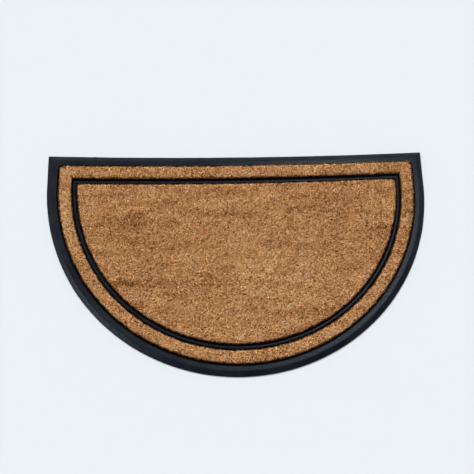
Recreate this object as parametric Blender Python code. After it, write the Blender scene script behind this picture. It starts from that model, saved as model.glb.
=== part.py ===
"""Half-round coir doormat: one moulded rubber tray that holds two pads of coir pile.

The tray is a floor with a raised, sloping rim and one raised rib that follows the
rim all the way round. The outer pad is a band that runs between the rim and the
rib, and the inner pad fills the D-shaped field inside the rib. The mat lies flat
on the surface with its straight back edge towards +Y and its round front towards
-Y. The origin is the centre of its box, on the underside. Sizes are in metres.
"""

import collections
import math

import bmesh
import bpy

# The outline: a half circle with short straight sides, closed by the back edge.
RADIUS = 0.381
SIDE_LENGTH = 0.0762
BACK_Y = (RADIUS + SIDE_LENGTH) / 2
ARC_CENTRE_Y = BACK_Y - SIDE_LENGTH
# The back edge isn't quite straight: it dips in by this much at its middle.
BACK_DIP = 0.007

# Steps along the outline. Every ring of a piece has the same number of points.
ARC_STEPS = 72
CORNER_STEPS = 4
BACK_STEPS = 14

# Heights above the surface that the mat lies on.
FLOOR_TOP = 0.0025
LIP_TOP = 0.0018
RIM_CREST = 0.0070
RIM_INNER_TOP = 0.0060
RIB_TOP = 0.0064
PILE_TOP = 0.0127
SEAT_GAP = 0.0003

# Distances in from the outer edge, measured square to it.
RIM_CREST_INSET = 0.0100
RIM_WIDTH = 0.0200
BAND_OUTER = 0.0242
BAND_INNER = 0.0492
RIB_MIDDLE = 0.0558
RIB_BASE_HALF = 0.0028
RIB_TOP_HALF = 0.0018
FIELD_OUTER = 0.0628

# Small flats that break the rubber's edges: at the lip, along the rim's crest, at
# its inner edge and on the rib.
LIP_CHAMFER = 0.0010
CREST_FLAT = 0.0030
CREST_FALL = 0.0003
EDGE_CHAMFER = 0.0008

# The pile spreads a little above its foot, and its shoulders are worn round.
PILE_FLARE = 0.0003
SHOULDER_WIDTH = 0.0026
SHOULDER_DROP = 0.0022
SHOULDER_STEPS = 4

# Radii of the two back corners. The rubber's outer corners are crisp. The pocket
# and the pads are rounder, and the field more so on the right.
Corners = collections.namedtuple("Corners", "left right")
RIM_CORNERS = Corners(left=0.0022, right=0.0022)
POCKET_CORNERS = Corners(left=0.0115, right=0.0105)
RIB_CORNERS = Corners(left=0.0014, right=0.0014)
BAND_OUTER_CORNERS = Corners(left=0.0125, right=0.0115)
BAND_MIDDLE_CORNERS = Corners(left=0.0060, right=0.0060)
BAND_INNER_CORNERS = Corners(left=0.0016, right=0.0016)
FIELD_CORNERS = Corners(left=0.0045, right=0.0095)

# One closed line round the mat: how far in it lies, how high, and its corners.
Section = collections.namedtuple("Section", "inset height corners")

RUBBER_COLOUR = (0.026, 0.033, 0.041, 1.0)
COIR_COLOUR = (0.36, 0.17, 0.066, 1.0)


def clear_scene():
    for old in list(bpy.data.objects):
        bpy.data.objects.remove(old, do_unlink=True)


def material(name, colour, roughness):
    made = bpy.data.materials.new(name)
    made.use_nodes = True
    shader = made.node_tree.nodes["Principled BSDF"]
    shader.inputs["Base Color"].default_value = colour
    shader.inputs["Roughness"].default_value = roughness
    shader.inputs["Metallic"].default_value = 0.0
    return made


def back_edge_y(x, inset):
    """How far back the back edge lies at x, for an outline drawn this far in."""
    return BACK_Y - inset - BACK_DIP * (1.0 - (x / RADIUS) ** 2)


def corner_points(side, half_width, inset, radius):
    """A rounded back corner, from the straight side to the back edge. side is 1 right, -1 left."""
    centre_x = half_width - radius
    centre_y = back_edge_y(centre_x, inset) - radius
    points = []
    for step in range(CORNER_STEPS + 1):
        turn = 0.5 * math.pi * step / CORNER_STEPS
        x = centre_x + radius * math.cos(turn)
        points.append((side * x, centre_y + radius * math.sin(turn)))
    return points


def outline(inset, corners):
    """The mat's outline drawn this far in, anticlockwise from the left end of the round front."""
    half_width = RADIUS - inset
    points = []
    for step in range(ARC_STEPS + 1):
        turn = math.pi + math.pi * step / ARC_STEPS
        x = half_width * math.cos(turn)
        points.append((x, ARC_CENTRE_Y + half_width * math.sin(turn)))
    points += corner_points(1, half_width, inset, corners.right)
    right_end = half_width - corners.right
    left_end = corners.left - half_width
    for step in range(1, BACK_STEPS):
        x = right_end + (left_end - right_end) * step / BACK_STEPS
        points.append((x, back_edge_y(x, inset)))
    points += reversed(corner_points(-1, half_width, inset, corners.left))
    return points


def bridge(mesh, lower, upper):
    """Joins two rings of points with a band of four-sided faces."""
    count = len(lower)
    for index in range(count):
        after = (index + 1) % count
        mesh.faces.new((lower[index], lower[after], upper[after], upper[index]))


def loft(name, sections, is_ring_shaped, made_of, collection):
    """One solid through its sections, which run from the underside outwards, up and in.

    A ring-shaped piece closes from its last section back to its first. Any other
    piece is closed by a face across its first section and one across its last.
    """
    mesh = bmesh.new()
    rings = []
    for section in sections:
        points = outline(section.inset, section.corners)
        rings.append([mesh.verts.new((x, y, section.height)) for x, y in points])
    for lower, upper in zip(rings, rings[1:]):
        bridge(mesh, lower, upper)
    if is_ring_shaped:
        bridge(mesh, rings[-1], rings[0])
    else:
        mesh.faces.new(list(reversed(rings[0])))
        mesh.faces.new(rings[-1])
    bmesh.ops.recalc_face_normals(mesh, faces=mesh.faces)
    data = bpy.data.meshes.new(name)
    mesh.to_mesh(data)
    mesh.free()
    data.materials.append(made_of)
    data.shade_smooth()
    data.set_sharp_from_angle(angle=math.radians(35))
    piece = bpy.data.objects.new(name, data)
    collection.objects.link(piece)
    return piece


def rim_sections():
    """Underside, lip, outer slope, crest, and the gentler inner slope down into the pocket."""
    crest_start = RIM_CREST_INSET - CREST_FLAT / 2
    crest_end = RIM_CREST_INSET + CREST_FLAT / 2
    crest_side = RIM_CREST - CREST_FALL
    return [
        Section(inset=0.0, height=0.0, corners=RIM_CORNERS),
        Section(inset=0.0, height=LIP_TOP, corners=RIM_CORNERS),
        Section(inset=LIP_CHAMFER, height=LIP_TOP + LIP_CHAMFER, corners=RIM_CORNERS),
        Section(inset=crest_start, height=crest_side, corners=RIM_CORNERS),
        Section(inset=RIM_CREST_INSET, height=RIM_CREST, corners=RIM_CORNERS),
        Section(inset=crest_end, height=crest_side, corners=RIM_CORNERS),
        Section(inset=RIM_WIDTH - EDGE_CHAMFER, height=RIM_INNER_TOP, corners=POCKET_CORNERS),
        Section(inset=RIM_WIDTH, height=RIM_INNER_TOP - EDGE_CHAMFER, corners=POCKET_CORNERS),
        Section(inset=RIM_WIDTH, height=FLOOR_TOP, corners=POCKET_CORNERS),
    ]


def rib_sections():
    """The rib, from its foot on the band's side over its top to its foot on the field's side."""
    shoulder_half = (RIB_BASE_HALF + RIB_TOP_HALF) / 2
    shoulder_top = RIB_TOP - EDGE_CHAMFER
    return [
        Section(inset=RIB_MIDDLE - RIB_BASE_HALF, height=FLOOR_TOP, corners=RIB_CORNERS),
        Section(inset=RIB_MIDDLE - shoulder_half, height=shoulder_top, corners=RIB_CORNERS),
        Section(inset=RIB_MIDDLE - RIB_TOP_HALF, height=RIB_TOP, corners=RIB_CORNERS),
        Section(inset=RIB_MIDDLE + RIB_TOP_HALF, height=RIB_TOP, corners=RIB_CORNERS),
        Section(inset=RIB_MIDDLE + shoulder_half, height=shoulder_top, corners=RIB_CORNERS),
        Section(inset=RIB_MIDDLE + RIB_BASE_HALF, height=FLOOR_TOP, corners=RIB_CORNERS),
    ]


def pile_edge(edge_inset, inward, corners):
    """A pad's edge, from its foot up the wall and over the rounded shoulder to the top.

    inward is 1 where the pad lies towards the mat's middle from this edge, else -1.
    """
    foot = edge_inset + inward * PILE_FLARE
    sections = [Section(inset=foot, height=FLOOR_TOP + SEAT_GAP, corners=corners)]
    for step in range(SHOULDER_STEPS + 1):
        turn = 0.5 * math.pi * step / SHOULDER_STEPS
        inset = edge_inset + inward * SHOULDER_WIDTH * (1.0 - math.cos(turn))
        height = PILE_TOP - SHOULDER_DROP * (1.0 - math.sin(turn))
        sections.append(Section(inset, height, corners))
    return sections


def rubber_tray(collection, rubber):
    """The floor, the sloping rim and the rib, moulded in one."""
    sections = rim_sections() + rib_sections()
    return loft("rubber_tray", sections, False, rubber, collection)


def coir_band(collection, coir):
    """The outer pad, between the rim and the rib."""
    middle = (BAND_OUTER + BAND_INNER) / 2
    sections = pile_edge(BAND_OUTER, 1, BAND_OUTER_CORNERS)
    sections.append(Section(inset=middle, height=PILE_TOP, corners=BAND_MIDDLE_CORNERS))
    sections += reversed(pile_edge(BAND_INNER, -1, BAND_INNER_CORNERS))
    return loft("coir_band", sections, True, coir, collection)


def coir_field(collection, coir):
    """The inner pad, the D-shaped field inside the rib."""
    sections = pile_edge(FIELD_OUTER, 1, FIELD_CORNERS)
    return loft("coir_field", sections, False, coir, collection)


def main():
    clear_scene()
    doormat = bpy.data.collections.new("half_round_doormat")
    bpy.context.scene.collection.children.link(doormat)
    rubber = material("black_rubber", RUBBER_COLOUR, 0.55)
    coir = material("natural_coir", COIR_COLOUR, 0.95)
    rubber_tray(doormat, rubber)
    coir_band(doormat, coir)
    coir_field(doormat, coir)


main()
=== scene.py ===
import math

import bpy
import numpy as np
from mathutils import Matrix, Vector, geometry, noise


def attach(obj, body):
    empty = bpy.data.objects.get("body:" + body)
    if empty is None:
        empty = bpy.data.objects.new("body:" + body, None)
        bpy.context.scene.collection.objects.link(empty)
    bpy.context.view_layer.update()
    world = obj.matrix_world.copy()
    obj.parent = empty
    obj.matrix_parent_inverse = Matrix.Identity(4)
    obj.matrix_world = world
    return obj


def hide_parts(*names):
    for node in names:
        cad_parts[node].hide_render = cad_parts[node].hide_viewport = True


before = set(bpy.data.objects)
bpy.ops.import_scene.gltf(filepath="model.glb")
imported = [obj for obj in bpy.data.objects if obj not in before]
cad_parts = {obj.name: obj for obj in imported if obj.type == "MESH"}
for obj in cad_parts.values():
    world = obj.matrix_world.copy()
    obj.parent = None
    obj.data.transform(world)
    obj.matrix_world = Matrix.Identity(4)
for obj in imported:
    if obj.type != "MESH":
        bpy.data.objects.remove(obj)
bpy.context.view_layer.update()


# Rubber tray. One pressing in black rubber: a thin lip, a rim that slopes up to a
# soft crest and falls gently inwards, a floor, and a rib that follows the rim. It
# comes out of the mould a little wavy, with one nub of flash on its back edge.
MAT_RADIUS = 0.381
STRAIGHT_SIDE = 0.0762
BACK_EDGE = (MAT_RADIUS + STRAIGHT_SIDE) / 2
ROUND_CENTRE = BACK_EDGE - STRAIGHT_SIDE
BACK_DIP = 0.007
RIM_WIDTH = 0.0204
FLOOR_TOP = 0.0025
GROOVE_TOP = 0.0046
GROOVE_MARGIN = 0.0005
TRAY_WAVE = 0.00018
WAVY_FROM_HEIGHT = 0.007

# The nub of flash, and the stretch of the back edge beside it that gets more points,
# as a share of that edge.
FLASH_NUB_X = -0.2873
FLASH_NUB_REACH = 0.0011
FLASH_NUB_HALF_WIDTH = 0.0013
FLASH_NUB_INSET = 0.0012
BACK_RIM_Y = 0.21
NUB_STRETCH = 0.011
NUB_SPACING = 0.35

# Across the tray from its outer edge to the rib's inner foot, in millimetres. The
# last column is how far the moulded edge there is rounded.
TRAY_PROFILE_MM = (
    # inset, height, left corner, right corner, rounding
    (0.0, 0.0, 2.2, 2.2, 0.0),
    (0.0, 1.9, 2.2, 2.2, 0.5),
    (1.0, 2.7, 2.2, 2.2, 0.7),
    (9.2, 6.85, 2.2, 2.2, 1.6),
    (11.8, 6.85, 2.4, 2.4, 1.6),
    (19.6, 6.0, 11.5, 10.5, 0.8),
    (20.3, 5.0, 11.5, 10.5, 0.6),
    (20.4, 2.5, 11.5, 10.5, 0.6),
    (52.0, 2.5, 1.4, 1.4, 0.6),
    (52.5, 5.5, 1.4, 1.4, 0.9),
    (53.3, 6.4, 1.4, 1.4, 0.9),
    (56.5, 6.4, 1.4, 1.4, 0.9),
    (57.3, 5.5, 1.4, 1.4, 0.9),
    (57.8, 2.5, 1.4, 1.4, 0.0),
)

# Where the mat's lines leave even ones. The left side is a little bowed: this far to
# the right at these distances back. The rib and both pads sit to the right of even.
LEFT_SIDE_Y = (-0.06, 0.03, 0.10, 0.15)
LEFT_SIDE_TO_RIGHT = (0.0, 0.0005, 0.0, -0.0008)
PADS_TO_RIGHT = 0.0007
RIM_TO_PADS = 0.003

# Near the back they also lie askew. Each row gives how far back a line lies at the
# mat's middle, how much more for each metre to the right, the least and the most.
NEAR_BACK_Y = 0.09
NEAR_BACK_RUN = 0.06
PADS_ASKEW = (0.0012, 0.0054, -0.0004, 0.0026)
BAND_EDGE_ASKEW = (0.0014, -0.0035, 0.0003, 0.0016)
BAND_EDGE_INSETS = (0.026, 0.036)
FORWARD_INSETS = (0.0495, 0.052, 0.058, 0.061)
FORWARD = (0.0005, 0.0020, 0.0020, 0.0008)

# The field is wider along its straight right side. The tufts along the edges of both
# pads stand out of line, mostly by less than half of the fray.
FIELD_FROM_INSET = 0.0590
STRAIGHT_SIDE_Y = 0.06
STRAIGHT_SIDE_RUN = 0.05
FIELD_WIDENS_X = (0.20, 0.31)
FIELD_WIDENS_BY = (0.0, 0.0016)
BAND_INSETS = (0.0215, 0.0505)
FRAY = 0.0022
TUFTS_PER_METRE = 190.0


def back_edge_y(x, inset):
    return BACK_EDGE - inset - BACK_DIP * (1.0 - (x / MAT_RADIUS) ** 2)


def askew(x, at_middle, more_to_right, least, most):
    return np.clip(at_middle + more_to_right * x, least, most)


def frayed(x, y):
    """How far right and back the tufts along a pad's edge stand out of line."""
    places = list(zip(np.ravel(x) * TUFTS_PER_METRE, np.ravel(y) * TUFTS_PER_METRE))
    to_right = [noise.noise((across, along, 2.0)) for across, along in places]
    to_back = [noise.noise((across, along, 8.0)) for across, along in places]
    return FRAY * np.array([to_right, to_back]).reshape((2, *np.shape(x)))


def stray(x, y, inset):
    """How far right and back of its even place the mat's line at this inset lies."""
    bowed = np.interp(y, LEFT_SIDE_Y, LEFT_SIDE_TO_RIGHT)
    inside_rim = np.clip((inset - RIM_WIDTH) / RIM_TO_PADS, 0.0, 1.0)
    near_back = np.clip((y - NEAR_BACK_Y) / NEAR_BACK_RUN, 0.0, 1.0)
    band_edge = np.interp(inset, BAND_EDGE_INSETS, (1.0, 0.0)) * askew(x, *BAND_EDGE_ASKEW)
    forward = np.interp(inset, FORWARD_INSETS, FORWARD)
    out_of_square = askew(x, *PADS_ASKEW) + band_edge - forward
    back = inside_rim * near_back**2 * (3 - 2 * near_back) * out_of_square
    right = np.where(x < 0.0, bowed, 0.0) + inside_rim * PADS_TO_RIGHT
    on_field = inset > FIELD_FROM_INSET
    if on_field:
        straight = np.clip((y - STRAIGHT_SIDE_Y) / STRAIGHT_SIDE_RUN, 0.0, 1.0)
        right = right + straight * np.interp(x, FIELD_WIDENS_X, FIELD_WIDENS_BY)
    if on_field or BAND_INSETS[0] < inset < BAND_INSETS[1]:
        fray_right, fray_back = frayed(x, y)
        return right + fray_right, back + fray_back
    return right, back


def back_corner(side, half_width, inset, radius, steps):
    """A rounded back corner from the straight side to the back edge. side is 1 right, -1 left."""
    turn = np.linspace(0.0, 0.5 * math.pi, steps + 1)
    middle_x = half_width - radius
    middle_y = back_edge_y(middle_x, inset) - radius
    x = side * (middle_x + radius * np.cos(turn))
    return np.column_stack([x, middle_y + radius * np.sin(turn)])


def mat_outline(inset, left_corner, right_corner, arc_steps, back_steps, corner_steps=7):
    """The mat's outline drawn this far in, anticlockwise from the left end of the round front."""
    half_width = MAT_RADIUS - inset
    turn = np.linspace(math.pi, 2.0 * math.pi, arc_steps + 1)
    front = np.column_stack([half_width * np.cos(turn), ROUND_CENTRE + half_width * np.sin(turn)])
    right = back_corner(1, half_width, inset, right_corner, corner_steps)
    left = back_corner(-1, half_width, inset, left_corner, corner_steps)[::-1]
    share = np.linspace(0.0, 1.0, back_steps + 1)[1:-1]
    by_nub = share[np.abs(share - 0.5 + FLASH_NUB_X / (2.0 * MAT_RADIUS)) < NUB_STRETCH]
    spacing = NUB_SPACING / back_steps
    share = np.sort(np.concatenate([share, by_nub + spacing, by_nub - spacing]))
    x = right[-1, 0] + (left[0, 0] - right[-1, 0]) * share
    back = np.column_stack([x, back_edge_y(x, inset)])
    outline = np.vstack([front, right, back, left])
    return outline + np.column_stack(stray(*outline.T, inset))


def rounded_profile(rows, steps=4, most=0.45):
    """The profile with its corners turned into short curves, each up to most of a side long."""
    rows = np.array(rows, float)
    out = []
    for index, row in enumerate(rows):
        rounding = row[4]
        if rounding == 0.0:
            out.append(row[:4])
            continue
        before = rows[index - 1] - row
        after = rows[index + 1] - row
        reach_before = min(rounding / np.hypot(*before[:2]), most)
        reach_after = min(rounding / np.hypot(*after[:2]), most)
        start = (row + before * reach_before)[:4]
        end = (row + after * reach_after)[:4]
        for part in np.linspace(0.0, 1.0, steps + 1):
            out.append((1 - part) ** 2 * start + 2 * part * (1 - part) * row[:4] + part**2 * end)
    return np.array(out)


def ring_faces(count, lower, upper):
    """The four-sided faces between two rings of points, given the number of each ring's first point."""
    faces = []
    for index in range(count):
        after = (index + 1) % count
        faces.append((lower + index, lower + after, upper + after, upper + index))
    return faces


def mesh_object(name, points, faces, material):
    data = bpy.data.meshes.new(name)
    data.from_pydata([tuple(point) for point in points], [], faces)
    data.materials.append(material)
    data.shade_smooth()
    made = bpy.data.objects.new(name, data)
    bpy.context.scene.collection.objects.link(made)
    return made


def add_node(tree, kind, inputs=None, **settings):
    """Adds a node, and fills its inputs with values or with the sockets of other nodes."""
    made = tree.nodes.new(kind)
    for name, value in settings.items():
        setattr(made, name, value)
    for name, value in (inputs or {}).items():
        if isinstance(value, bpy.types.NodeSocket):
            tree.links.new(value, made.inputs[name])
        else:
            made.inputs[name].default_value = value
    return made


def arithmetic(tree, operation, first, second=0.0, third=0.0, clamped=False):
    inputs = {0: first, 1: second, 2: third}
    return add_node(tree, "ShaderNodeMath", inputs, operation=operation, use_clamp=clamped).outputs[0]


def blended(tree, factor, first, second):
    """A colour that goes from the first to the second with the factor."""
    made = add_node(tree, "ShaderNodeMix", {"Factor": factor}, data_type="RGBA")
    colour_inputs = [socket for socket in made.inputs if socket.type == "RGBA"]
    for socket, colour in zip(colour_inputs, (first, second)):
        if isinstance(colour, bpy.types.NodeSocket):
            tree.links.new(colour, socket)
        else:
            socket.default_value = (*colour, 1.0)
    return next(socket for socket in made.outputs if socket.type == "RGBA")


def moulded_rubber():
    """Black rubber with a faint bloom of dust, and the fine grain that the mould leaves."""
    made = bpy.data.materials.new("moulded_rubber")
    made.use_nodes = True
    tree = made.node_tree
    shader = tree.nodes["Principled BSDF"]
    place = add_node(tree, "ShaderNodeTexCoord").outputs["Object"]
    bloom = add_node(tree, "ShaderNodeTexNoise", {"Vector": place, "Scale": 24.0, "Detail": 5.0})
    grain = add_node(tree, "ShaderNodeTexNoise", {"Vector": place, "Scale": 900.0, "Detail": 3.0})
    dust = add_node(tree, "ShaderNodeTexNoise", {"Vector": place, "Scale": 300.0, "Detail": 4.0})
    specks = arithmetic(tree, "MULTIPLY_ADD", dust.outputs["Fac"], 3.2, -1.95)
    dusty = arithmetic(tree, "MULTIPLY_ADD", bloom.outputs["Fac"], 1.6, specks)
    colour = blended(tree, dusty, (0.0012, 0.0022, 0.0048), (0.0092, 0.0120, 0.0170))
    tree.links.new(colour, shader.inputs["Base Color"])
    scuffs = arithmetic(tree, "MULTIPLY_ADD", dust.outputs["Fac"], -0.60, 0.59)
    rough = arithmetic(tree, "MULTIPLY_ADD", bloom.outputs["Fac"], 0.14, scuffs)
    tree.links.new(rough, shader.inputs["Roughness"])
    bump = add_node(
        tree, "ShaderNodeBump", {"Height": grain.outputs["Fac"], "Strength": 0.25, "Distance": 0.0002}
    )
    tree.links.new(bump.outputs["Normal"], shader.inputs["Normal"])
    shader.inputs["Specular IOR Level"].default_value = 0.165
    shader.inputs["Specular Tint"].default_value = (0.72, 0.83, 0.95, 1.0)
    return made


def groove_rubber():
    """The same rubber on the tray's floor and the feet of its walls: dull, with coir dust on it."""
    made = bpy.data.materials.new("groove_rubber")
    made.use_nodes = True
    tree = made.node_tree
    shader = tree.nodes["Principled BSDF"]
    place = add_node(tree, "ShaderNodeTexCoord").outputs["Object"]
    dust = add_node(tree, "ShaderNodeTexNoise", {"Vector": place, "Scale": 700.0, "Detail": 4.0})
    specks = add_node(
        tree, "ShaderNodeMapRange", {"Value": dust.outputs["Fac"], "From Min": 0.60, "From Max": 0.75}
    ).outputs["Result"]
    colour = blended(tree, specks, (0.0036, 0.0040, 0.0048), (0.0240, 0.0130, 0.0070))
    tree.links.new(colour, shader.inputs["Base Color"])
    shader.inputs["Roughness"].default_value = 0.9
    shader.inputs["Specular IOR Level"].default_value = 0.05
    return made


def flash_nub(x, y, inset):
    """How far the nub of flash stands out of the back edge here."""
    if y < BACK_RIM_Y:
        return 0.0
    nub = FLASH_NUB_REACH * math.exp(-(((x - FLASH_NUB_X) / FLASH_NUB_HALF_WIDTH) ** 2))
    return nub * max(0.0, 1.0 - inset / FLASH_NUB_INSET)


def moulded_tray():
    rows = rounded_profile(TRAY_PROFILE_MM) / 1000.0
    points = []
    for inset, height, left_corner, right_corner in rows:
        ring = mat_outline(inset, left_corner, right_corner, arc_steps=300, back_steps=120)
        rise = min(height / WAVY_FROM_HEIGHT, 1.0)
        for x, y in ring:
            wave = noise.noise((x * 14.0, y * 14.0, 3.0))
            drift = noise.noise((x * 22.0, y * 22.0, 9.0))
            z = height + TRAY_WAVE * wave * rise
            outwards = Vector((x, y - ROUND_CENTRE * 0.4)).normalized() * drift * TRAY_WAVE
            points.append((x + outwards.x, y + outwards.y + flash_nub(x, y, inset), z))
    count = len(ring)
    faces = [tuple(range(count - 1, -1, -1))]
    for index in range(len(rows) - 1):
        faces += ring_faces(count, index * count, (index + 1) * count)
    faces.append(tuple(range((len(rows) - 1) * count, len(rows) * count)))
    tray = mesh_object("moulded_tray", points, faces, moulded_rubber())
    tray.data.materials.append(groove_rubber())
    for face in tray.data.polygons:
        highest = max(points[corner][2] for corner in face.vertices)
        inset = rows[face.vertices[0] // count][0]
        face.material_index = int(highest < GROOVE_TOP and inset > RIM_WIDTH - GROOVE_MARGIN)
    return tray


tray = moulded_tray()
tray.data.set_sharp_from_angle(angle=math.radians(60))
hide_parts("rubber_tray")
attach(tray, "root")


# Coir roots. Under the longest fibres each pad is a dense mat of shorter ones, bonded
# to the tray's floor. Their cut ends show through the pile, with painted shade in the
# holes between them. One pad is a band between rim and rib, and the other fills the field.
SEAT = FLOOR_TOP + 0.0003
ROOT_TOP = 0.0106
ROOT_WALL_TOP = 0.0068
ROOT_DEPTH = 0.0018
ROOT_SETBACK = 0.0010
BAND_OUTER = 0.0238
BAND_INNER = 0.0492
FIELD_OUTER = 0.0613
BAND_OUTER_CORNERS = (0.0125, 0.0115)
BAND_INNER_CORNERS = (0.0016, 0.0016)
FIELD_CORNERS = (0.0045, 0.0095)
BAND_TOP_RINGS = 8

# The field's top is a shaken grid of points, which stops short of its edge and of its
# two back corners.
ROOT_GRID = 0.0034
GRID_SHAKE = 0.3
GRID_MARGIN = 0.0015
GRID_REACH_X = 0.34
GRID_REACH_Y = 0.18
BACK_CORNER_X = 0.303
BACK_CORNER_Y = 0.145


def coir_root():
    """The round, cut ends of short fibres, each of its own brown, with painted shade: near black between
    them and lower down.
    """
    made = bpy.data.materials.new("coir_root")
    made.use_nodes = True
    tree = made.node_tree
    shader = tree.nodes["Principled BSDF"]
    place = add_node(tree, "ShaderNodeTexCoord").outputs["Object"]
    fleck = add_node(tree, "ShaderNodeTexNoise", {"Vector": place, "Scale": 330.0, "Detail": 3.0})
    # Painted shade: near black in the holes and between the round cut ends.
    shade_holes = add_node(
        tree, "ShaderNodeMapRange", {"Value": fleck.outputs["Fac"], "From Min": 0.40, "From Max": 0.53}
    ).outputs["Result"]
    cells = {"Vector": place, "Scale": 850.0}
    ends = add_node(tree, "ShaderNodeTexVoronoi", cells, voronoi_dimensions="2D")
    round_end = add_node(
        tree,
        "ShaderNodeMapRange",
        {"Value": ends.outputs["Distance"], "From Min": 0.82, "From Max": 0.42},
    ).outputs["Result"]
    each = add_node(tree, "ShaderNodeSeparateXYZ", {"Vector": ends.outputs["Color"]}).outputs["X"]
    cut = blended(tree, each, (0.550, 0.223, 0.0630), (0.930, 0.680, 0.3750))
    shown = arithmetic(tree, "MULTIPLY", shade_holes, round_end)
    upper = blended(tree, shown, (0.066, 0.019, 0.0010), cut)
    # Painted shade: lower down, the pad turns near black.
    height = add_node(tree, "ShaderNodeSeparateXYZ", {"Vector": place}).outputs["Z"]
    painted_depth_shade = add_node(
        tree,
        "ShaderNodeMapRange",
        {"Value": height, "From Min": 0.0060, "From Max": 0.0100, "To Min": 1.0, "To Max": 0.0},
    ).outputs["Result"]
    colour = blended(tree, painted_depth_shade, upper, (0.012, 0.005, 0.002))
    tree.links.new(colour, shader.inputs["Base Color"])
    bump = add_node(tree, "ShaderNodeBump", {"Height": shown, "Strength": 0.8, "Distance": 0.0008})
    tree.links.new(bump.outputs["Normal"], shader.inputs["Normal"])
    shader.inputs["Roughness"].default_value = 0.95
    shader.inputs["Specular IOR Level"].default_value = 0.03
    return made


def root_height(x, y):
    lumps = noise.noise((x * 160.0, y * 160.0, 1.0)) * 0.0005
    return ROOT_TOP + lumps + noise.noise((x * 45.0, y * 45.0, 5.0)) * 0.0003


def pad_ring(inset, corners, height=None):
    """One ring of a pad's roots. With no height it lies on the lumpy top."""
    flat = mat_outline(inset, *corners, arc_steps=260, back_steps=170, corner_steps=5)
    return [(x, y, root_height(x, y) if height is None else height) for x, y in flat]


def band_roots(material):
    outer = BAND_OUTER + ROOT_SETBACK
    inner = BAND_INNER - ROOT_SETBACK
    rings = [pad_ring(outer, BAND_OUTER_CORNERS, height) for height in (SEAT, ROOT_WALL_TOP)]
    for share in np.linspace(0.05, 0.95, BAND_TOP_RINGS):
        corners = np.array(BAND_OUTER_CORNERS) * (1 - share) + np.array(BAND_INNER_CORNERS) * share
        rings.append(pad_ring(outer + (inner - outer) * share, corners))
    rings += [pad_ring(inner, BAND_INNER_CORNERS, height) for height in (ROOT_WALL_TOP, SEAT)]
    count = len(rings[0])
    points = [point for ring in rings for point in ring]
    faces = []
    for index in range(len(rings)):
        faces += ring_faces(count, index * count, (index + 1) % len(rings) * count)
    top = faces[2 * count : (BAND_TOP_RINGS + 1) * count]
    return mesh_object("coir_band_roots", points, faces, material), top


def field_roots(material):
    rings = [
        pad_ring(FIELD_OUTER + ROOT_SETBACK, FIELD_CORNERS, SEAT),
        pad_ring(FIELD_OUTER + ROOT_SETBACK, FIELD_CORNERS, ROOT_WALL_TOP),
        pad_ring(FIELD_OUTER + 2 * ROOT_SETBACK, FIELD_CORNERS),
    ]
    count = len(rings[0])
    edge = [Vector(point[:2]) for point in rings[-1]]
    shake = np.random.default_rng(11)
    inside = []
    for y in np.arange(-GRID_REACH_Y, GRID_REACH_Y, ROOT_GRID * 0.87):
        for x in np.arange(-GRID_REACH_X, GRID_REACH_X, ROOT_GRID):
            px, py = np.array([x, y]) + shake.uniform(-GRID_SHAKE, GRID_SHAKE, 2) * ROOT_GRID
            inset = min(MAT_RADIUS - abs(px), back_edge_y(px, 0.0) - py)
            if py < ROUND_CENTRE:
                inset = MAT_RADIUS - math.hypot(px, py - ROUND_CENTRE)
            in_corner = abs(px) > BACK_CORNER_X and py > BACK_CORNER_Y
            if inset > FIELD_OUTER + 2 * ROOT_SETBACK + GRID_MARGIN and not in_corner:
                right, back = stray(px, py, FIELD_OUTER)
                inside.append(Vector((px + right, py + back)))
    loop = [(index, (index + 1) % count) for index in range(count)]
    flat, _, triangles, _, _, _ = geometry.delaunay_2d_cdt(edge + inside, loop, [], 1, 1e-7)
    points = rings[0] + rings[1] + [(x, y, root_height(x, y)) for x, y in flat]
    faces = [tuple(range(count - 1, -1, -1))] + ring_faces(count, 0, count)
    faces += ring_faces(count, count, 2 * count)
    top = [tuple(corner + 2 * count for corner in triangle) for triangle in triangles]
    return mesh_object("coir_field_roots", points, faces + top, material), top


root_coir = coir_root()
band, band_top = band_roots(root_coir)
field, field_top = field_roots(root_coir)


# Coir pile. Coconut fibres stand upright in small tufts, cut level and brushed by
# wear, so that they lean and gather. Those at a pad's edge run down to the tray and
# its shoulders are worn round. Each fibre is a slim, closed three-sided spike.
PILE_TOP = 0.0127
SHOULDER_WIDTH = 0.0095
EDGE_STRIP = (0.0001, 0.0015)
EDGE_CROWDING = 2.2
BAND_FIBRES_PER_M2 = 900000.0
FIELD_FIBRES_PER_M2 = 1000000.0
FIELD_PIECES = 4
FIBRE_SIZES = {
    "Pile top": PILE_TOP,
    "Shoulder width": SHOULDER_WIDTH,
    "Shoulder drop": 0.0020,
    "Fibre width": 0.00115,
    "Tuft size": 0.0025,
    "Gather": 0.25,
    "Tuft lean": 0.0014,
    "Fibre lean": 0.0012,
    "Unevenness": 0.0007,
}

# How much tufts and fibres differ in tone, and the share of tufts that are much darker.
TUFT_TONES = 0.42
FIBRE_TONES = 0.65
DARK_TUFTS = 0.10
DARKER = 0.36
FULL_TURN = 6.283

# Painted shade: a fibre goes from near black to its own colour between these two heights.
SHADED_BELOW = 0.0065
UNSHADED_ABOVE = PILE_TOP - 0.0005
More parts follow.
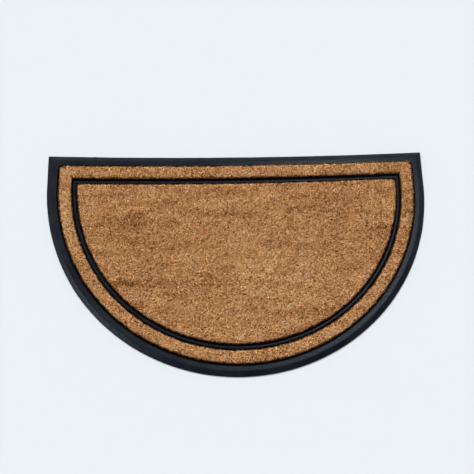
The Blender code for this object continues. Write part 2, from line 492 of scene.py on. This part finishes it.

# Soft patches with ragged edges where the pile is paler or darker. The small dark smudges and streaks are
# stains on the coir; the long strips and broad patches that leave the left side paler and the right side
# darker are painted light and shade.
STAINS_AND_PAINTED_LIGHT = (
    # x, y, half length, half width, paler
    (-0.208, 0.076, 0.028, 0.020, -0.28),
    (-0.225, 0.138, 0.024, 0.008, -0.12),
    (-0.165, 0.036, 0.075, 0.032, -0.12),
    (-0.180, -0.047, 0.085, 0.007, -0.44),
    (-0.055, -0.054, 0.030, 0.008, -0.10),
    (-0.230, -0.046, 0.030, 0.004, -0.20),
    (0.122, 0.124, 0.018, 0.012, -0.13),
    (0.050, 0.098, 0.110, 0.008, -0.10),
    (0.284, 0.020, 0.022, 0.055, -0.18),
    (0.240, 0.105, 0.045, 0.032, -0.21),
    (0.175, 0.025, 0.050, 0.050, -0.12),
    (0.150, -0.113, 0.070, 0.009, -0.16),
    (0.060, -0.108, 0.080, 0.006, -0.11),
    (-0.077, -0.115, 0.045, 0.016, -0.07),
    (-0.290, 0.140, 0.026, 0.036, 0.22),
    (0.010, 0.020, 0.110, 0.055, 0.06),
    (-0.020, -0.145, 0.060, 0.016, 0.04),
    (-0.345, 0.050, 0.022, 0.150, 0.34),
    (0.352, 0.050, 0.018, 0.120, -0.34),
    (0.260, -0.110, 0.040, 0.050, -0.10),
    (0.010, 0.190, 0.100, 0.020, 0.12),
    (0.020, -0.200, 0.100, 0.016, -0.12),
    (0.325, -0.050, 0.026, 0.060, -0.32),
)
PATCH_RAGGEDNESS = 0.5
PATCH_FALL = 1.2


def coir_fibre():
    """Golden brown fibre, in streaks and patches. It is pale where it is cut, with painted shade lower
    down.
    """
    made = bpy.data.materials.new("coir_fibre")
    made.use_nodes = True
    tree = made.node_tree
    shader = tree.nodes["Principled BSDF"]
    place = add_node(tree, "ShaderNodeTexCoord").outputs["Object"]
    tone = add_node(tree, "ShaderNodeAttribute", attribute_name="fibre_tone").outputs["Fac"]
    stretched = add_node(
        tree, "ShaderNodeMapping", {"Vector": place, "Scale": (9.0, 60.0, 1.0)}
    ).outputs["Vector"]
    streaks = add_node(tree, "ShaderNodeTexNoise", {"Vector": stretched, "Scale": 1.0, "Detail": 3.0})
    patches = add_node(
        tree, "ShaderNodeTexNoise", {"Vector": place, "Scale": 24.0, "Detail": 2.0, "Roughness": 0.5}
    )
    uneven = arithmetic(
        tree,
        "ADD",
        arithmetic(tree, "MULTIPLY", arithmetic(tree, "SUBTRACT", streaks.outputs["Fac"], 0.5), 0.95),
        arithmetic(tree, "MULTIPLY", arithmetic(tree, "SUBTRACT", patches.outputs["Fac"], 0.5), 0.45),
    )
    shade = arithmetic(tree, "ADD", tone, uneven, clamped=True)
    ramp = add_node(tree, "ShaderNodeValToRGB", {"Fac": shade})
    stops = ramp.color_ramp.elements
    stops[0].color = (0.235, 0.070, 0.0060, 1.0)
    stops[1].color = (0.930, 0.785, 0.5500, 1.0)
    middle = stops.new(0.5)
    middle.color = (0.860, 0.520, 0.2300, 1.0)
    # Painted shade: lower down, the fibre turns a deeper brown and then near black.
    height = add_node(tree, "ShaderNodeSeparateXYZ", {"Vector": place}).outputs["Z"]
    painted_depth_shade = add_node(
        tree,
        "ShaderNodeMapRange",
        {"Value": height, "From Min": SHADED_BELOW, "From Max": UNSHADED_ABOVE, "To Min": 1.0, "To Max": 0.0},
    ).outputs["Result"]
    painted_deep_shade = arithmetic(tree, "MULTIPLY", painted_depth_shade, 1.5, clamped=True)
    colour = blended(tree, painted_deep_shade, ramp.outputs["Color"], (0.410, 0.155, 0.0170))
    painted_dark_shade = arithmetic(tree, "MULTIPLY", arithmetic(tree, "POWER", painted_depth_shade, 1.8), 0.95)
    colour = blended(tree, painted_dark_shade, colour, (0.034, 0.011, 0.0008))
    tree.links.new(colour, shader.inputs["Base Color"])
    shader.inputs["Roughness"].default_value = 0.8
    shader.inputs["Specular IOR Level"].default_value = 0.03
    return made


def fibre_tree():
    """Grows fibres on a surface of roots. Each root's edge_gap says how near the pad's edge it is."""
    tree = bpy.data.node_groups.new("upright_coir_fibres", "GeometryNodeTree")
    sockets = {"Roots": "NodeSocketGeometry", "Fibres per square metre": "NodeSocketFloat"}
    for size in FIBRE_SIZES:
        sockets[size] = "NodeSocketFloat"
    sockets.update({"Seed": "NodeSocketInt", "Coir": "NodeSocketMaterial"})
    for name, kind in sockets.items():
        tree.interface.new_socket(name, in_out="INPUT", socket_type=kind)
    tree.interface.new_socket("Pile", in_out="OUTPUT", socket_type="NodeSocketGeometry")
    given = tree.nodes.new("NodeGroupInput").outputs
    result = tree.nodes.new("NodeGroupOutput")

    def vector_maths(operation, first, second):
        node = add_node(tree, "ShaderNodeVectorMath", {0: first}, operation=operation)
        if operation == "SCALE":
            tree.links.new(second, node.inputs["Scale"])
        elif isinstance(second, bpy.types.NodeSocket):
            tree.links.new(second, node.inputs[1])
        else:
            node.inputs[1].default_value = second
        return node.outputs["Vector"]

    def named_value(name):
        return add_node(
            tree, "GeometryNodeInputNamedAttribute", {"Name": name}, data_type="FLOAT"
        ).outputs["Attribute"]

    def chance(offset, low=0.0, high=1.0):
        """A number that differs from fibre to fibre."""
        node = add_node(tree, "FunctionNodeRandomValue", data_type="FLOAT")
        node.inputs[2].default_value = low
        node.inputs[3].default_value = high
        seed = arithmetic(tree, "ADD", given["Seed"], offset)
        tree.links.new(seed, node.inputs["Seed"])
        return node.outputs[1]

    density = arithmetic(tree, "MULTIPLY", given["Fibres per square metre"], named_value("crowding"))
    scattered = add_node(
        tree,
        "GeometryNodeDistributePointsOnFaces",
        {"Mesh": given["Roots"], "Density": density, "Seed": given["Seed"]},
        distribute_method="RANDOM",
    ).outputs["Points"]
    root = tree.nodes.new("GeometryNodeInputPosition").outputs["Position"]
    across = vector_maths("MULTIPLY", root, (1.0, 1.0, 0.0))
    cells = arithmetic(tree, "DIVIDE", 1.0, given["Tuft size"])
    tuft = add_node(
        tree, "ShaderNodeTexVoronoi", {"Vector": across, "Scale": cells}, voronoi_dimensions="2D"
    )
    tuft_chance = add_node(tree, "ShaderNodeSeparateXYZ", {"Vector": tuft.outputs["Color"]}).outputs

    # Where the tip lies: towards the tuft's middle, the way the tuft leans, and a little of
    # its own. Near the pad's edge a fibre has less room to lean.
    to_middle = vector_maths("SUBTRACT", tuft.outputs["Position"], across)
    to_middle = vector_maths("SCALE", to_middle, given["Gather"])
    tuft_way = vector_maths("SUBTRACT", tuft.outputs["Color"], (0.5, 0.5, 0.5))
    tuft_way = vector_maths("MULTIPLY", tuft_way, (2.0, 2.0, 0.0))
    tuft_way = vector_maths("SCALE", tuft_way, given["Tuft lean"])
    own_chances = {"X": chance(1, -1.0), "Y": chance(2, -1.0)}
    own_way = add_node(tree, "ShaderNodeCombineXYZ", own_chances).outputs["Vector"]
    own_way = vector_maths("SCALE", own_way, given["Fibre lean"])
    lean = vector_maths("ADD", vector_maths("ADD", to_middle, tuft_way), own_way)
    inward = arithmetic(tree, "DIVIDE", named_value("edge_gap"), given["Shoulder width"], clamped=True)
    freedom = arithmetic(tree, "MULTIPLY_ADD", inward, 0.6, 0.4)
    lean = vector_maths("SCALE", lean, freedom)

    # How high it reaches: uneven by tuft and by fibre, and lower over the worn shoulder.
    outward = arithmetic(tree, "SUBTRACT", 1.0, inward)
    drop = arithmetic(tree, "MULTIPLY", arithmetic(tree, "POWER", outward, 3.0), given["Shoulder drop"])
    ups_and_downs = arithmetic(tree, "MULTIPLY", tuft_chance["Z"], 0.5)
    ups_and_downs = arithmetic(tree, "ADD", ups_and_downs, chance(3, 0.0, 0.5))
    short_by = arithmetic(tree, "MULTIPLY", ups_and_downs, given["Unevenness"])
    top = arithmetic(tree, "SUBTRACT", given["Pile top"], drop)
    top = arithmetic(tree, "SUBTRACT", top, short_by)
    root_z = add_node(tree, "ShaderNodeSeparateXYZ", {"Vector": root}).outputs["Z"]
    height = arithmetic(tree, "SUBTRACT", top, root_z)
    rise = add_node(tree, "ShaderNodeCombineXYZ", {"Z": height}).outputs["Vector"]
    along = vector_maths("ADD", lean, rise)
    length = add_node(tree, "ShaderNodeVectorMath", {0: along}, operation="LENGTH").outputs["Value"]
    thick = arithmetic(tree, "MULTIPLY", given["Fibre width"], chance(4, 0.6, 1.3))

    # Its tone: by tuft and by fibre, by stains and by painted light and shade, and much darker in a few
    # tufts.
    tone = arithmetic(tree, "MULTIPLY", tuft_chance["X"], TUFT_TONES)
    tone = arithmetic(tree, "ADD", tone, chance(5, 0.0, FIBRE_TONES))
    tone = arithmetic(tree, "ADD", tone, named_value("stains_and_painted_light"))
    dark_tuft = arithmetic(tree, "LESS_THAN", tuft_chance["Y"], DARK_TUFTS)
    tone = arithmetic(tree, "SUBTRACT", tone, arithmetic(tree, "MULTIPLY", dark_tuft, DARKER))
    toned = add_node(
        tree,
        "GeometryNodeStoreNamedAttribute",
        {"Geometry": scattered, "Name": "fibre_tone", "Value": tone},
        data_type="FLOAT",
        domain="POINT",
    ).outputs["Geometry"]

    # The fibre itself: the hull of a short line at its root and one across it at its cut end.
    both_ends = tree.nodes.new("GeometryNodeJoinGeometry")
    for start, offset in (((0.0, -0.5, 0.0), (0.0, 1.0, 0.0)), ((-0.5, 0.0, 1.0), (1.0, 0.0, 0.0))):
        line = {"Count": 2, "Start Location": start, "Offset": offset}
        end = add_node(tree, "GeometryNodeMeshLine", line).outputs["Mesh"]
        tree.links.new(end, both_ends.inputs["Geometry"])
    spike = add_node(
        tree, "GeometryNodeConvexHull", {"Geometry": both_ends.outputs["Geometry"]}
    ).outputs["Convex Hull"]
    spin = add_node(tree, "ShaderNodeCombineXYZ", {"Z": chance(6, 0.0, FULL_TURN)}).outputs["Vector"]
    turned = add_node(
        tree, "FunctionNodeAlignRotationToVector", {"Rotation": spin, "Vector": along}, axis="Z"
    ).outputs["Rotation"]
    size = add_node(tree, "ShaderNodeCombineXYZ", {"X": thick, "Y": thick, "Z": length}).outputs["Vector"]
    placed = add_node(
        tree,
        "GeometryNodeInstanceOnPoints",
        {"Points": toned, "Instance": spike, "Rotation": turned, "Scale": size},
    ).outputs["Instances"]
    real = add_node(tree, "GeometryNodeRealizeInstances", {"Geometry": placed}).outputs["Geometry"]
    finished = add_node(
        tree, "GeometryNodeSetMaterial", {"Geometry": real, "Material": given["Coir"]}
    ).outputs["Geometry"]
    tree.links.new(finished, result.inputs["Pile"])
    return tree


def stains_and_painted_light(x, y):
    """How much paler the pile is here than elsewhere, or darker where it is below zero: stains, and painted
    light and shade.
    """
    total = 0.0
    for patch_x, patch_y, length, width, paler in STAINS_AND_PAINTED_LIGHT:
        away = math.hypot((x - patch_x) / length, (y - patch_y) / width)
        away += PATCH_RAGGEDNESS * noise.noise((x * 60.0, y * 110.0, patch_x * 9.0))
        total += paler * math.exp(-PATCH_FALL * max(away, 0.0) ** 2)
    return total


def inset_of(x, y, line):
    """How far in from the mat's even outline a place lies, if it strays as this line does."""
    right, back = stray(x, y, line)
    x, y = x - right, y - back
    across = abs(x) if y > ROUND_CENTRE else math.hypot(x, y - ROUND_CENTRE)
    return min(MAT_RADIUS - across, back_edge_y(x, 0.0) - y)


def edge_gap(x, y, outer, inner=None):
    """How far a point lies inside its pad's nearest edge."""
    gap = inset_of(x, y, outer) - outer
    return gap if inner is None else min(gap, inner - inset_of(x, y, inner))


def strip_rings(edge_inset, inward, corners):
    """A strip just inside a pad's edge, low down, where the fibres of the pad's wall are rooted."""
    rings = []
    for reach in EDGE_STRIP:
        rings.append(pad_ring(edge_inset + inward * reach, corners, SEAT + 0.0003))
    return rings


def roots_mesh(name, points, top_faces, strips, outer, inner=None):
    """The surface that a piece's fibres grow on: part of a pad's top, and strips along its edges."""
    used = sorted({corner for face in top_faces for corner in face})
    renumbered = {old: new for new, old in enumerate(used)}
    places = [(*points[corner][:2], points[corner][2] - ROOT_DEPTH) for corner in used]
    faces = [tuple(renumbered[corner] for corner in face) for face in top_faces]
    crowding = [1.0] * len(places)
    for rings in strips:
        start, count = len(places), len(rings[0])
        places += rings[0] + rings[1]
        crowding += [EDGE_CROWDING] * (2 * count)
        faces += ring_faces(count, start, start + count)
    mesh = bpy.data.meshes.new(name)
    mesh.from_pydata(places, [], faces)
    gaps = [max(edge_gap(x, y, outer, inner), 0.0) for x, y, _ in places]
    # Stains, and painted light and shade, for each root.
    stained_and_lit = [stains_and_painted_light(x, y) for x, y, _ in places]
    for attribute, values in (("crowding", crowding), ("edge_gap", gaps), ("stains_and_painted_light", stained_and_lit)):
        mesh.attributes.new(attribute, "FLOAT", "POINT").data.foreach_set("value", values)
    return mesh


def lay_out_fibres(mesh):
    """Gives each fibre a small cell of the piece's map, its root below and its cut end above."""
    fibres = len(mesh.vertices) // 4
    place = np.empty(len(mesh.vertices) * 3, np.float32)
    mesh.vertices.foreach_get("co", place)
    heights = place.reshape(fibres, 4, 3)[:, :, 2]
    by_height = np.argsort(np.argsort(heights, axis=1), axis=1).ravel()
    corner = np.empty(len(mesh.loops), np.int32)
    mesh.loops.foreach_get("vertex_index", corner)
    cells = math.ceil(math.sqrt(fibres))
    cell_corners = np.array([[0.08, 0.08], [0.92, 0.08], [0.08, 0.92], [0.92, 0.92]])
    inside_cell = cell_corners[by_height[corner]]
    column_row = np.column_stack([corner // 4 % cells, corner // 4 // cells])
    layer = mesh.uv_layers.new(name="OFBake")
    layer.uv.foreach_set("vector", ((column_row + inside_cell) / cells).astype(np.float32).ravel())


def grow_pile(name, roots, fibres_per_square_metre, seed, tree, material):
    piece = bpy.data.objects.new(name, roots)
    bpy.context.scene.collection.objects.link(piece)
    grower = piece.modifiers.new("pile", "NODES")
    grower.node_group = tree
    given = {"Fibres per square metre": fibres_per_square_metre, "Seed": seed, "Coir": material}
    given.update(FIBRE_SIZES)
    for socket in tree.interface.items_tree:
        if socket.in_out == "INPUT" and socket.name in given:
            grower[socket.identifier] = given[socket.name]
    graph = bpy.context.evaluated_depsgraph_get()
    grown = bpy.data.meshes.new_from_object(
        piece.evaluated_get(graph), preserve_all_data_layers=True, depsgraph=graph
    )
    grown.name = name
    piece.modifiers.remove(grower)
    piece.data = grown
    lay_out_fibres(grown)
    return piece


fibre_coir = coir_fibre()
pile_tree = fibre_tree()

band_points = [vertex.co for vertex in band.data.vertices]
band_strips = [
    strip_rings(BAND_OUTER, 1, BAND_OUTER_CORNERS),
    strip_rings(BAND_INNER, -1, BAND_INNER_CORNERS),
]
band_mesh = roots_mesh("band_roots", band_points, band_top, band_strips, BAND_OUTER, BAND_INNER)
band_pile = grow_pile("coir_band_pile", band_mesh, BAND_FIBRES_PER_M2, 7, pile_tree, fibre_coir)

field_points = [vertex.co for vertex in field.data.vertices]
field_piles = []
shares = np.linspace(0.0, 1.0, FIELD_PIECES + 1)[1:-1]
quarter_edges = np.quantile([field_points[face[0]].x for face in field_top], shares)
for quarter in range(FIELD_PIECES):
    here = []
    for face in field_top:
        if np.searchsorted(quarter_edges, field_points[face[0]].x) == quarter:
            here.append(face)
    strips = [strip_rings(FIELD_OUTER, 1, FIELD_CORNERS)] if quarter == 0 else []
    mesh = roots_mesh("field_roots", field_points, here, strips, FIELD_OUTER)
    name = f"coir_field_pile_{quarter + 1}"
    field_piles.append(grow_pile(name, mesh, FIELD_FIBRES_PER_M2, 20 + quarter, pile_tree, fibre_coir))

for piece in (band, field, band_pile, *field_piles):
    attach(piece, "root")
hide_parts("coir_band")
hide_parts("coir_field")


# The studio. Pale paper lies under the mat, far past the picture's edges, and a pale
# backdrop stands all round. One soft key light, behind the mat and a little to its left,
# lights the coir and the paper, and a window and a softbox put the sheen on the rubber.
FLOOR_REACH = 40


def pale_paper():
    made = bpy.data.materials.new("pale_paper")
    made.use_nodes = True
    shader = made.node_tree.nodes["Principled BSDF"]
    shader.inputs["Base Color"].default_value = (0.549, 0.586, 0.624, 1.0)
    shader.inputs["Roughness"].default_value = 0.9
    shader.inputs["Specular IOR Level"].default_value = 0.1
    return made


floor_corners = [(x * FLOOR_REACH, y * FLOOR_REACH, 0) for x, y in ((-1, -1), (1, -1), (1, 1), (-1, 1))]
floor = mesh_object("studio_floor", floor_corners, [(0, 1, 2, 3)], pale_paper())


def far_light(name, azimuth, elevation, spread, strength):
    """A large, soft and distant light. Azimuth 0 stands at the back, and 90 on the right."""
    data = bpy.data.lights.new(name, "SUN")
    data.angle = math.radians(spread)
    data.energy = strength
    made = bpy.data.objects.new(name, data)
    turn, rise = math.radians(azimuth), math.radians(elevation)
    away = Vector((math.sin(turn) * math.cos(rise), math.cos(turn) * math.cos(rise), math.sin(rise)))
    made.rotation_mode = "QUATERNION"
    made.rotation_quaternion = away.to_track_quat("Z", "Y")
    bpy.context.scene.collection.objects.link(made)
    return made


key = far_light("key_light", azimuth=-18, elevation=50, spread=36, strength=3.8)
key.visible_glossy = False
window = far_light("window_light", azimuth=-110, elevation=41, spread=36, strength=1.25)
window.visible_diffuse = False

softbox_data = bpy.data.lights.new("softbox", "AREA")
softbox_data.size = 0.35
softbox_data.energy = 4.6
softbox = bpy.data.objects.new("softbox", softbox_data)
softbox.location = (0.36, 0.36, 1.2)
softbox.visible_diffuse = False
bpy.context.scene.collection.objects.link(softbox)

# The room is brighter behind the mat than on the viewer's side. Low down all round, the
# pale backdrop hides it.
world = bpy.data.worlds.new("studio")
world.use_nodes = True
walls = world.node_tree
way = add_node(walls, "ShaderNodeTexCoord").outputs["Generated"]
backness = add_node(walls, "ShaderNodeVectorMath", {0: way, 1: (0.0, 1.0, 0.0)}, operation="DOT_PRODUCT")
brightness = add_node(
    walls,
    "ShaderNodeMapRange",
    {"Value": backness.outputs["Value"], "From Min": -0.5, "From Max": 0.9, "To Min": 0.29, "To Max": 1.05},
).outputs["Result"]
rise = add_node(walls, "ShaderNodeSeparateXYZ", {"Vector": way}).outputs["Z"]
above_backdrop = add_node(
    walls, "ShaderNodeMapRange", {"Value": rise, "From Min": 0.21, "From Max": 0.27}
).outputs["Result"]
strength = add_node(
    walls, "ShaderNodeMapRange", {"Value": above_backdrop, "To Min": 1.0, "To Max": brightness}
).outputs["Result"]
shown = blended(walls, above_backdrop, (0.838, 0.880, 0.913), (1.0, 0.965, 0.91))
walls.links.new(strength, walls.nodes["Background"].inputs["Strength"])
walls.links.new(shown, walls.nodes["Background"].inputs["Color"])
bpy.context.scene.world = world
bpy.context.scene.view_settings.view_transform = "Standard"

# The camera looks down on the mat from its round side. Angles are in radians, and the
# focal length is in the photograph's pixels.
TILT_FROM_ABOVE = 0.32984
TURN = -0.10622
ROLL = 0.08629
FOCAL_PIXELS = 850.0
PHOTO_WIDTH_PIXELS = 474.0
SENSOR_WIDTH = 36.0
AIM = Vector((-0.00213, 0.04988, 0.0))
DISTANCE = 1.68908

backwards = Vector(
    (
        math.sin(TILT_FROM_ABOVE) * math.sin(TURN),
        -math.sin(TILT_FROM_ABOVE) * math.cos(TURN),
        math.cos(TILT_FROM_ABOVE),
    )
)
level = Vector((math.cos(TURN), math.sin(TURN), 0.0))
upright = backwards.cross(level)
rolled_right = math.cos(ROLL) * level + math.sin(ROLL) * upright
rolled_up = -math.sin(ROLL) * level + math.cos(ROLL) * upright
camera_data = bpy.data.cameras.new("camera")
camera_data.sensor_width = SENSOR_WIDTH
camera_data.lens = FOCAL_PIXELS / PHOTO_WIDTH_PIXELS * SENSOR_WIDTH
camera = bpy.data.objects.new("camera", camera_data)
camera.matrix_world = Matrix.Translation(AIM + DISTANCE * backwards) @ Matrix(
    (rolled_right, rolled_up, backwards)
).transposed().to_4x4()
bpy.context.scene.collection.objects.link(camera)
bpy.context.scene.camera = camera
